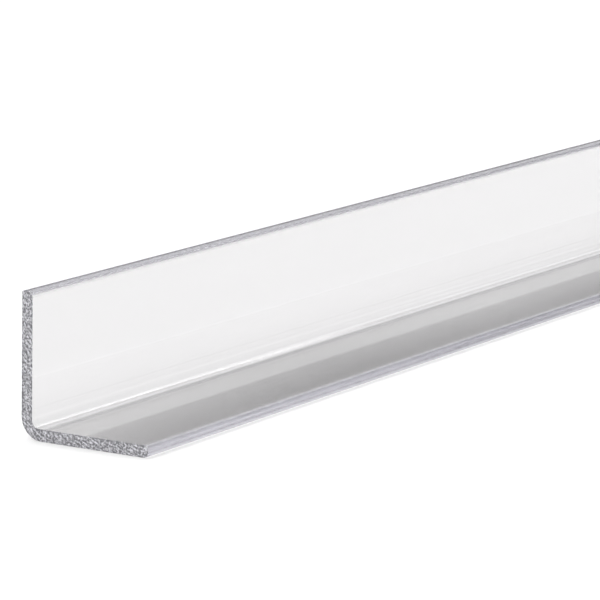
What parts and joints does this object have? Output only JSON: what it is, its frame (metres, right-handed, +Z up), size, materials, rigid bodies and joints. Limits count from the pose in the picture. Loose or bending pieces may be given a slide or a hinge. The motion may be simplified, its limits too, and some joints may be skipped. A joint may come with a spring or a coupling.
{
  "type": "polycarbonate angle",
  "caption": "Length of clear plastic equal-leg L angle with a rounded heel, filleted root, rounded toes and sawn ends, for covering or joining edges and corners.",
  "frame": {"origin": "under the middle of the bar: centre of its bounding box, on the floor it lies on", "axes": "+X along the bar, +Z up, standing leg along the +Y side, toe of the lying leg towards -Y"},
  "size_m": [1.2192, 0.0382, 0.0381],
  "materials": {
    "clear_polycarbonate": "clear and glossy as extruded, with frosted sawn ends"
  },
  "bodies": {
    "root": {"polycarbonate_angle": "clear_polycarbonate"}
  },
  "joints": []
}
